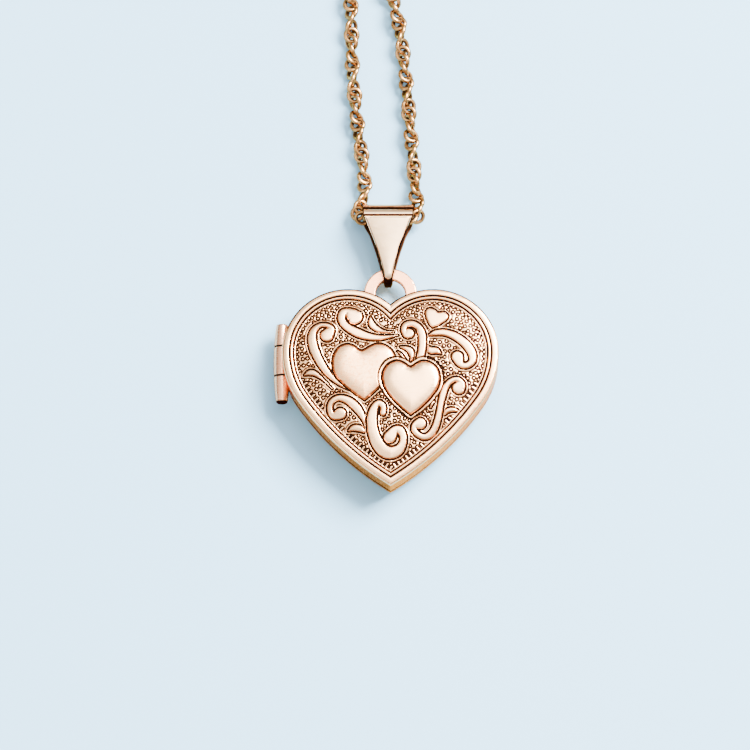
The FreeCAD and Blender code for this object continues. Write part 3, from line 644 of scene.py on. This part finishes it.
def punch_marks(x, y, P):
    dep = np.zeros(x.shape); pat = np.zeros(x.shape)
    cell = 0.5
    table = {}
    for k, p in enumerate(P):
        table.setdefault((int(math.floor(p[0] / cell)), int(math.floor(p[1] / cell))), []).append(k)
    order = np.lexsort((np.floor(y / cell), np.floor(x / cell)))
    keys = np.c_[np.floor(x / cell), np.floor(y / cell)].astype(int)[order]
    cut = np.flatnonzero(np.any(np.diff(keys, axis=0) != 0, axis=1)) + 1
    for grp in np.split(order, cut):
        kx, ky = int(math.floor(x[grp[0]] / cell)), int(math.floor(y[grp[0]] / cell))
        cand = [k for i in (-1, 0, 1) for j in (-1, 0, 1) for k in table.get((kx + i, ky + j), [])]
        xs, ys = x[grp], y[grp]
        dd = np.zeros(xs.shape); pp = np.zeros(xs.shape)
        for k in cand:
            px, py, a, st = P[k]
            ca, sa = math.cos(a), math.sin(a)
            u = (xs - px) * ca + (ys - py) * sa
            v = -(xs - px) * sa + (ys - py) * ca
            v = v - np.clip(v, -0.125 * (st - 1), 0.125 * (st - 1))
            r = np.hypot(u, v)
            g = gauss(r - 0.114, 0.047)
            # painted shade: each mark's ring is painted darker on one side
            shade = 0.80 + 0.20 * (0.8 * (ys - py) - 0.6 * (xs - px)) / np.maximum(np.hypot(xs - px, ys - py), 1e-3)
            dd = np.maximum(dd, g) - 0.30 * gauss(r, 0.07)
            pp = np.maximum(pp, np.minimum(1.0, g * 2.1 * shade))
        dep[grp] = dd; pat[grp] = pp
    return dep, pat


# ------------------------------------------------------------------ front cover
def rim_height(d):
    """Height of the rim from its outer edge to the field, and its dark tone: patina in the two grooves, a thinner
    dark line on the bevel, and painted shade along the outer edge.
    """
    kz = [(0.00, 2.880), (0.008, 2.925), (0.02, 2.965), (0.05, 3.010), (0.09, 3.035), (0.15, 3.052), (0.22, 3.066), (0.32, 3.078), (0.39, 3.080), (0.43, 3.072), (0.46, 3.045), (0.487, 2.995),
          (0.515, 2.965), (0.545, 2.990), (0.575, 3.050), (0.61, 3.080), (0.65, 3.090), (0.69, 3.082), (0.725, 3.050), (0.755, 3.000), (0.785, 2.960), (0.83, 2.945), (0.90, 2.960)]
    kd, kzv = np.array(kz).T
    z = np.interp(d, kd, kzv)
    p = 2.10 * gauss(d - 0.513, 0.046) + 2.00 * gauss(d - 0.800, 0.050) + 0.55 * gauss(d - 0.115, 0.028) + 0.19 * smooth01(np.array((0.02 - d) / 0.02))
    return z, np.clip(p, 0, 1)


def dome(dd):
    return 2.960 + 0.24 * (1 - np.exp(-np.maximum(dd, 0) / 0.95))


def build_front():
    N = 1200
    CEN = np.array([0.0, 0.95])
    rings, sizes = [], []
    # top, outwards from the middle
    field = heart_ring(RIM_IN + 0.11, N)
    steps = []
    n_field = 190
    for k in range(1, n_field):
        s = k / n_field
        step = 4 if s < 0.24 else (2 if s < 0.48 else 1)
        steps.append((s, step))
    for s, step in steps:
        rings.append(("field", CEN + s * (field[::step] - CEN)))
        sizes.append(N // step)
    for d in [0.90, 0.87, 0.84, 0.82, 0.80, 0.78, 0.755, 0.73, 0.70, 0.67, 0.64, 0.61, 0.58, 0.555, 0.535, 0.515, 0.495, 0.475, 0.455, 0.43, 0.40, 0.36, 0.30, 0.22, 0.155, 0.13, 0.105, 0.085, 0.05, 0.02, 0.008, 0.0]:
        rings.append(("rim", (heart_ring(d, N), d))); sizes.append(N)
    lower = [(0.0, 2.86), (0.0, 2.84), (0.0, 2.81), (0.0, 2.40), (0.0, 1.95), (0.0, 1.66), (0.0, 1.60), (0.0, 1.54), (0.006, 1.505), (0.03, 1.482), (0.08, 1.48), (0.27, 1.48), (0.325, 1.485), (0.348, 1.51),
             (0.35, 1.56), (0.35, 2.20), (0.36, 2.228), (0.60, 2.23), (0.93, 2.23), (0.95, 2.25), (0.95, 2.58), (1.0, 2.63), (1.45, 2.82)]
    for d, z in lower:
        rings.append(("low", (heart_ring(d, N), z))); sizes.append(N)
    last = heart_ring(1.45, N)
    for s, step in ((0.8, 2), (0.6, 4), (0.35, 4), (0.12, 4)):
        rings.append(("in", (CEN + s * (last[::step] - CEN), 2.82 + 0.05 * (1 - s)))); sizes.append(N // step)
    V, kind, pat = [], [], []
    punch = punches()
    print("punch marks", len(punch))
    fx = np.vstack([r[1] for r in rings if r[0] == "field"] + [CEN[None]])
    dd = inset_of(fx[:, 0], fx[:, 1])
    h, p, near = ornament(fx[:, 0], fx[:, 1])
    dep, pp = punch_marks(fx[:, 0], fx[:, 1], punch)
    clear = smooth01((near - 0.13) / 0.05) * smooth01((dd - 0.84) / 0.05)
    # U marks run out into the groove under the lower rim
    h = h * smooth01((dd - 0.82) / 0.10)
    z = dome(dd - 0.90) + h - 0.062 * dep * clear
    p = np.maximum(p * smooth01((dd - 0.84) / 0.06), pp * clear)
    p = np.maximum(p, rim_height(dd)[1])
    grain = 0.07 * smooth01((near - 0.20) / 0.08)
    p = np.clip(p + grain, 0, 1)
    fz, fp = z, p
    at = 0
    k_low = [0]
    for kd, data in rings:
        if kd == "field":
            n = len(data)
            V.append(np.c_[data, fz[at:at + n]]); pat.append(fp[at:at + n]); at += n
        elif kd == "rim":
            pts, d = data
            zz, pz = rim_height(d)
            if d > 0.84:
                zz, pz = dome(0.0), pz
            V.append(np.c_[pts, np.full(len(pts), float(zz))])
            # painted shade: a dark line along the outer edge over the top of the heart
            lip = 0.95 * smooth01((pts[:, 1] - 3.2) / 2.0) if d < 0.11 else 0.0
            pat.append(np.maximum(np.full(len(pts), float(pz)), lip))
        elif kd == "low":
            pts, z0 = data
            V.append(np.c_[pts, np.full(len(pts), z0)])
            # painted shade: the side wall is painted tan, and a dark band runs along the seam at the lower edge,
            # darker on the left
            shade = 0.55 + 0.45 * smooth01((0.8 - pts[:, 0]) / 1.6)
            pat.append(0.85 * shade if z0 < 1.59 and k_low[0] < 10 else np.full(len(pts), 0.27 if k_low[0] < 6 else 0.0))
            k_low[0] += 1
        else:
            pts, z0 = data
            V.append(np.c_[pts, np.full(len(pts), z0)]); pat.append(np.zeros(len(pts)))
    offs = np.r_[0, np.cumsum(sizes)[:-1]]
    total = int(sum(sizes))
    V.append(np.array([[CEN[0], CEN[1], fz[-1]], [CEN[0], CEN[1], 2.87]]))
    pat.append(np.array([fp[-1], 0.0]))
    faces = rings_to_faces(sizes, offs, total, total + 1)
    return np.vstack(V), faces, np.concatenate(pat)


HX, HZ = -7.52, 1.45
HY = (-0.85, 1.09, 3.20, 4.85)


def barrel_r(y):
    u = (y - 0.5 * (HY[0] + HY[3])) / (0.5 * (HY[3] - HY[0]))
    return 0.55 - 0.21 * u * u


def lathe_y(name, ys, extra, mat, n=64, cap=True):
    """A turned form about the hinge axis."""
    th = 2 * np.pi * np.arange(n) / n
    V = [(HX, ys[0][0], HZ)]
    for y, r in ys:
        for t in th:
            V.append((HX + (r + extra) * math.cos(t), y, HZ + (r + extra) * math.sin(t)))
    V.append((HX, ys[-1][0], HZ))
    F = []
    m = len(ys)
    for k in range(m - 1):
        for i in range(n):
            a, b = 1 + k * n + i, 1 + k * n + (i + 1) % n
            F.append((a, a + n, b + n, b))
    for i in range(n):
        F.append((0, 1 + i, 1 + (i + 1) % n))
        F.append((len(V) - 1, 1 + (m - 1) * n + (i + 1) % n, 1 + (m - 1) * n + i))
    return mesh_piece(name, V, F, mat)


def carve(ob, cutters):
    for c in cutters:
        md = ob.modifiers.new("cut", "BOOLEAN")
        md.operation = "DIFFERENCE"
        md.solver = "EXACT"
        md.object = c
    dg = bpy.context.evaluated_depsgraph_get()
    me = bpy.data.meshes.new_from_object(ob.evaluated_get(dg), preserve_all_data_layers=True, depsgraph=dg)
    ob.modifiers.clear()
    old = ob.data
    ob.data = me
    bpy.data.meshes.remove(old)
    for c in cutters:
        m = c.data
        bpy.data.objects.remove(c)
        bpy.data.meshes.remove(m)


def cutter(y0, y1, extra, name):
    ys = [(y, barrel_r(y)) for y in np.linspace(y0, y1, 9)]
    return lathe_y(name, ys, extra, None, 48)


V, F, P = build_front()
front = mesh_piece("front_cover_embossed", V, F, M_FRONT, attrs={"patina_and_shade": P})
print("front verts", len(V))
carve(front, [cutter(HY[0] - 0.06, HY[1] + 0.03, 0.05, "c1"), cutter(HY[2] - 0.03, HY[3] + 0.06, 0.05, "c2"), cutter(HY[1] + 0.03, HY[2] - 0.03, -0.004, "c3")])
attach(front, "front")
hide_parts("front_cover")


# ------------------------------------------------------------------ back cover
def build_back():
    N = 600
    CEN = np.array([0.0, 0.95])
    prof = [(1.45, 0.000), (1.32, 0.004), (1.18, 0.018), (1.05, 0.042), (0.92, 0.078), (0.80, 0.118), (0.68, 0.168), (0.56, 0.225), (0.45, 0.292), (0.35, 0.365),
            (0.26, 0.448), (0.18, 0.540), (0.11, 0.645), (0.06, 0.755), (0.025, 0.875), (0.006, 0.985), (0.0, 1.08), (0.0, 1.24), (0.0, 1.30), (0.0, 1.36), (0.006, 1.398), (0.03, 1.418),
            (0.08, 1.42), (0.27, 1.42), (0.325, 1.415), (0.348, 1.39), (0.35, 1.34), (0.35, 0.69), (0.36, 0.672), (0.60, 0.67), (0.93, 0.67), (0.95, 0.65), (0.95, 0.49), (1.45, 0.36)]
    first, last = heart_ring(1.45, N), heart_ring(1.45, N)
    V, sizes, pat = [], [], []
    for s, step in ((0.10, 4), (0.35, 4), (0.6, 2), (0.85, 2)):
        p = CEN + s * (first[::step] - CEN)
        V.append(np.c_[p, np.zeros(len(p))]); sizes.append(len(p)); pat.append(np.zeros(len(p)))
    for d, z in prof:
        p = heart_ring(d, N)
        # painted shade: a dark band along the seam at the top edge, darker on the left, and the side wall painted tan
        V.append(np.c_[p, np.full(len(p), z)]); sizes.append(len(p)); pat.append((0.85 * (0.55 + 0.45 * smooth01((0.8 - p[:, 0]) / 1.6))) if z > 1.35 and d < 0.3 else np.full(len(p), 0.27 if d < 0.2 and z > 0.5 and z < 1.34 else 0.0))
    for s, step in ((0.8, 2), (0.5, 4), (0.12, 4)):
        p = CEN + s * (last[::step] - CEN)
        V.append(np.c_[p, np.full(len(p), 0.355)]); sizes.append(len(p)); pat.append(np.zeros(len(p)))
    offs = np.r_[0, np.cumsum(sizes)[:-1]]
    total = int(sum(sizes))
    V.append(np.array([[CEN[0], CEN[1], 0.0], [CEN[0], CEN[1], 0.355]])); pat.append(np.zeros(2))
    faces = rings_to_faces(sizes, offs, total, total + 1)
    # this profile runs from the underside outwards, so its faces are turned over
    return np.vstack(V), [f[:, ::-1] for f in faces], np.concatenate(pat)


V, F, P = build_back()
back = mesh_piece("back_cover_polished", V, F, M_BACK, attrs={"patina_and_shade": P})
carve(back, [cutter(HY[1] - 0.03, HY[2] + 0.03, 0.05, "c4"), cutter(HY[0] - 0.01, HY[1] - 0.03, -0.004, "c5"), cutter(HY[2] + 0.03, HY[3] + 0.01, -0.004, "c6")])
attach(back, "case")
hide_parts("back_cover")


# ------------------------------------------------------------------ hinge
def knuckle(node, y0, y1, box, body, first=False, last=False):
    """One knuckle of a barrel that narrows to both ends, with the leaf that
    joins it to its cover."""
    n = 72
    mid, half = 0.5 * (HY[0] + HY[3]), 0.5 * (HY[3] - HY[0])
    r_at = lambda y: 0.575 * math.sqrt(max(0.02, 1 - ((y - mid) / (1.32 * half)) ** 2))
    g = 0.022
    a, b = y0 + (0.03 if first else g), y1 - (0.03 if last else g)
    ys = [(a, r_at(a) - 0.07), (a + 0.008, r_at(a) - 0.035), (a + 0.03, r_at(a) - 0.01)]
    ys += [(y, r_at(y)) for y in np.linspace(a + 0.06, b - 0.06, 22)]
    ys += [(b - 0.03, r_at(b) - 0.01), (b - 0.008, r_at(b) - 0.035), (b, r_at(b) - 0.07)]
    th = 2 * np.pi * np.arange(n) / n
    V = [(HX, a, HZ)] + [(HX + r * math.cos(t), y, HZ + r * math.sin(t)) for y, r in ys for t in th] + [(HX, b, HZ)]
    F, m = [], len(ys)
    for k in range(m - 1):
        for i in range(n):
            p, q = 1 + k * n + i, 1 + k * n + (i + 1) % n
            F.append((p, p + n, q + n, q))
    for i in range(n):
        F.append((0, 1 + i, 1 + (i + 1) % n))
        F.append((len(V) - 1, 1 + (m - 1) * n + (i + 1) % n, 1 + (m - 1) * n + i))
    x1, w0, w1, z0, z1 = box
    o = len(V)
    V += [(x, y, z) for x in (HX + 0.22, x1) for y in (w0, w1) for z in (z0, z1)]
    F += [tuple(o + i for i in f) for f in ((0, 1, 3, 2), (4, 6, 7, 5), (0, 4, 5, 1), (2, 3, 7, 6), (0, 2, 6, 4), (1, 5, 7, 3))]
    ob = mesh_piece(node + "_turned", V, F, M_KNUCKLE, sharp=35)
    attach(ob, body)
    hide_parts(node)


knuckle("hinge_knuckle_lower", HY[0], HY[1], (-6.82, 0.25, 1.04, 0.98, 1.40), "case", first=True)
knuckle("hinge_knuckle_middle", HY[1], HY[2], (-7.18, 1.14, 3.15, 1.50, 1.90), "front")
knuckle("hinge_knuckle_upper", HY[2], HY[3], (-6.92, 3.25, 4.15, 0.98, 1.40), "case", last=True)


# ------------------------------------------------------------------ bail
BAIL_X, BAIL_T = -0.15, 0.30
BAIL_LO, BAIL_HI = (8.50, 1.15, 0.90), (12.52, 1.21, 1.17)
BAIL_HALF = np.array([(7.55, 0.17), (7.72, 0.25), (8.00, 0.315), (8.30, 0.36), (8.60, 0.42), (9.19, 0.585), (10.42, 0.955), (11.64, 1.40), (12.46, 1.71), (13.20, 1.81), (13.80, 1.84)])
BAIL_EDGE = [0.0, 0.012, 0.03, 0.055, 0.08, 0.105, 0.13, 0.155, 0.18, 0.205, 0.24, 0.30, 0.38, 0.48]


def bail_loop(n_line=60, n_hi=64, n_lo=48):
    """Points, normals and arc position round the side outline, front panel first."""
    y0, z0, r0 = BAIL_LO
    y1, z1, r1 = BAIL_HI
    dy, dz = y1 - y0, z1 - z0
    L = math.hypot(dy, dz)
    base = math.atan2(dz, dy)
    tilt = math.acos((r0 - r1) / L)
    up, dn = base + tilt, base - tilt
    pts, nor = [], []
    for t in np.arange(n_line) / n_line:
        a = up
        p0 = np.array([y0 + r0 * math.cos(a), z0 + r0 * math.sin(a)]); p1 = np.array([y1 + r1 * math.cos(a), z1 + r1 * math.sin(a)])
        pts.append(p0 + (p1 - p0) * t); nor.append((math.cos(a), math.sin(a)))
    for a in np.linspace(up, dn, n_hi, endpoint=False):
        pts.append((y1 + r1 * math.cos(a), z1 + r1 * math.sin(a))); nor.append((math.cos(a), math.sin(a)))
    for t in np.arange(n_line) / n_line:
        a = dn
        p0 = np.array([y1 + r1 * math.cos(a), z1 + r1 * math.sin(a)]); p1 = np.array([y0 + r0 * math.cos(a), z0 + r0 * math.sin(a)])
        pts.append(p0 + (p1 - p0) * t); nor.append((math.cos(a), math.sin(a)))
    for a in np.linspace(dn, up - 2 * math.pi, n_lo, endpoint=False):
        pts.append((y0 + r0 * math.cos(a), z0 + r0 * math.sin(a))); nor.append((math.cos(a), math.sin(a)))
    return np.array(pts), np.array(nor)


def build_bail():
    pts, nor = bail_loop(90, 96, 72)
    M = len(pts)
    V, pat = [], []
    step01 = lambda t: float(smooth01(np.array(t)))
    for k in range(M):
        y, z = pts[k]
        ny, nz = nor[k]
        w = float(np.interp(y, BAIL_HALF[:, 0], BAIL_HALF[:, 1]))
        if nz < 0:       # the far panel is a little narrower than the face
            w *= 1 - 0.08 * step01((y - 8.6) / 0.9) * step01((12.4 - y) / 0.9) * min(1.0, -nz / 0.5)
        q = min(1.0, w / 0.56)
        e = [v * q for v in BAIL_EDGE]
        xs = [-w + v for v in e] + [0.0] + [w - v for v in e[::-1]]
        roll = y > BAIL_HI[0] - 0.12
        a = math.degrees(math.atan2(z - BAIL_HI[1], y - BAIL_HI[0]))     # 90 on top, 0 at the far side
        g1 = min(1.0, 2.6 * math.exp(-((a - 51.0) / 7.6) ** 2)) if roll else 0.0
        g2 = min(1.0, 2.0 * math.exp(-((a - 86.0) / 3.1) ** 2)) if roll else 0.0
        front = nz > 0.25 and not roll
        panel = step01((12.50 - y) / 0.12) * step01((y - 8.0) / 0.3) if front else 0.0
        strip = 1.0 if (roll and 0 < a < 100) or front else 0.0
        row, prow = [], []
        for x in xs:
            edge = w - abs(x)
            right = x > 0
            band = 0.15 * q
            bev = -0.07 * panel * step01((band - edge) / (0.07 * q))
            rnd = -0.05 * step01((0.03 - edge) / 0.03)
            crown = 0.06 * (1 - (x / w) ** 2) * panel
            off = bev + rnd + crown - 0.06 - 0.11 * g1 - 0.04 * g2
            row.append((BAIL_X + x, y + ny * off, z + nz * off))
            line = 0.8 * math.exp(-((edge - 0.165 * q) / 0.026) ** 2) * panel
            # painted shade: a dark band along the panel's edges, wider down the right side wall
            rim_w = (0.078 + (0.15 * math.exp(-((y - 10.4) / 1.2) ** 2) if right else 0.05 * math.exp(-((y - 9.8) / 1.2) ** 2)))
            out = strip * 1.0 * step01((rim_w - edge) / 0.025)
            # painted shade at the loop's lower tip, under the ring, and lighter over the underside
            tip_y = 8.04 + 0.30 * (x / 0.34) ** 2
            low = 0.9 * step01((tip_y - y) / 0.06) if z > 0.6 else 0.3
            prow.append(min(1.0, max(1.15 * g1, 0.9 * g2, line, out, low if y < 8.6 else 0.0)))
        for x in xs[::-1]:
            edge = w - abs(x)
            off = -BAIL_T + 0.04 * step01((0.03 - edge) / 0.03)
            row.append((BAIL_X + x * 0.997, y + ny * off, z + nz * off))
            # painted shade over the whole inside of the loop
            prow.append(0.68)
        V.append(row); pat.append(prow)
    W = len(V[0])
    V = np.array(V).reshape(-1, 3); pat = np.array(pat).reshape(-1)
    k, j = np.meshgrid(np.arange(M), np.arange(W), indexing="ij")
    k2, j2 = (k + 1) % M, (j + 1) % W
    F = np.stack([k * W + j, k * W + j2, k2 * W + j2, k2 * W + j], axis=-1).reshape(-1, 4).astype(np.int32)
    return V, [F], pat


V, F, P = build_bail()
bail = mesh_piece("bail_tapered", V, F, M_BAIL, attrs={"patina_and_shade": P})
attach(bail, "bail")
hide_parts("bail")


# ------------------------------------------------------------------ floor and light
def stage_material():
    mat = bpy.data.materials.new("pale_table")
    nt, p = nodes_of(mat)
    tc = nt.nodes.new("ShaderNodeTexCoord")
    n = noise_node(nt, 14.0, 2.0, 0.5, tc.outputs["Object"])
    r = ramp(nt, n.outputs["Fac"], [(0.35, (0.245, 0.480, 0.680)), (0.65, (0.256, 0.495, 0.696))])
    nt.links.new(r.outputs["Color"], p.inputs["Base Color"])
    p.inputs["Roughness"].default_value = 0.6
    p.inputs["Specular IOR Level"].default_value = 0.25
    return mat


floor = mesh_piece("table", [(-600, -600, -0.02), (600, -600, -0.02), (600, 600, -0.02), (-600, 600, -0.02)], [(0, 1, 2, 3)], stage_material(), smooth=False)

world = bpy.data.worlds.new("studio")
world.use_nodes = True
bpy.context.scene.world = world
wn = world.node_tree
bg = wn.nodes["Background"]
wtc = wn.nodes.new("ShaderNodeTexCoord")
wsep = wn.nodes.new("ShaderNodeSeparateXYZ")
wn.links.new(wtc.outputs["Generated"], wsep.inputs["Vector"])
wabs = wn.nodes.new("ShaderNodeMath"); wabs.operation = "ABSOLUTE"
wn.links.new(wsep.outputs["Z"], wabs.inputs[0])
wr = ramp(wn, wabs.outputs["Value"], [(0.02, (0.38, 0.19, 0.09)), (0.30, (0.66, 0.45, 0.32)), (0.60, (1.22, 1.19, 1.17)), (0.93, (2.0, 2.0, 1.98)), (0.975, (2.75, 2.6, 2.4))])
wn.links.new(wr.outputs["Color"], bg.inputs["Color"])
bg.inputs["Strength"].default_value = 1.0


def area(name, loc, aim, size, power, color=(1, 1, 1), shape="SQUARE", size_y=None):
    l = bpy.data.lights.new(name, "AREA")
    l.shape = shape
    l.size = size
    if size_y:
        l.size_y = size_y
    l.energy = power
    l.color = color
    ob = bpy.data.objects.new(name, l)
    v = np.array(aim, float) - np.array(loc, float)
    from mathutils import Vector
    ob.rotation_euler = Vector(v.tolist()).to_track_quat("-Z", "Y").to_euler()
    ob.location = loc
    bpy.context.scene.collection.objects.link(ob)
    return ob


area("key", (0.30, 0.22, 0.40), (0, 0, 0), 0.27, 28.0, (1.0, 0.99, 0.97))
area("overhead", (0.085, 0.255, 0.69), (0, 0.005, 0), 0.32, 3.0, (1.0, 0.99, 0.97))
area("fill", (-0.62, -0.30, 0.55), (0, 0, 0), 0.45, 3.0, (0.97, 0.99, 1.0))

# ------------------------------------------------------------------ final update
bpy.context.view_layer.update()
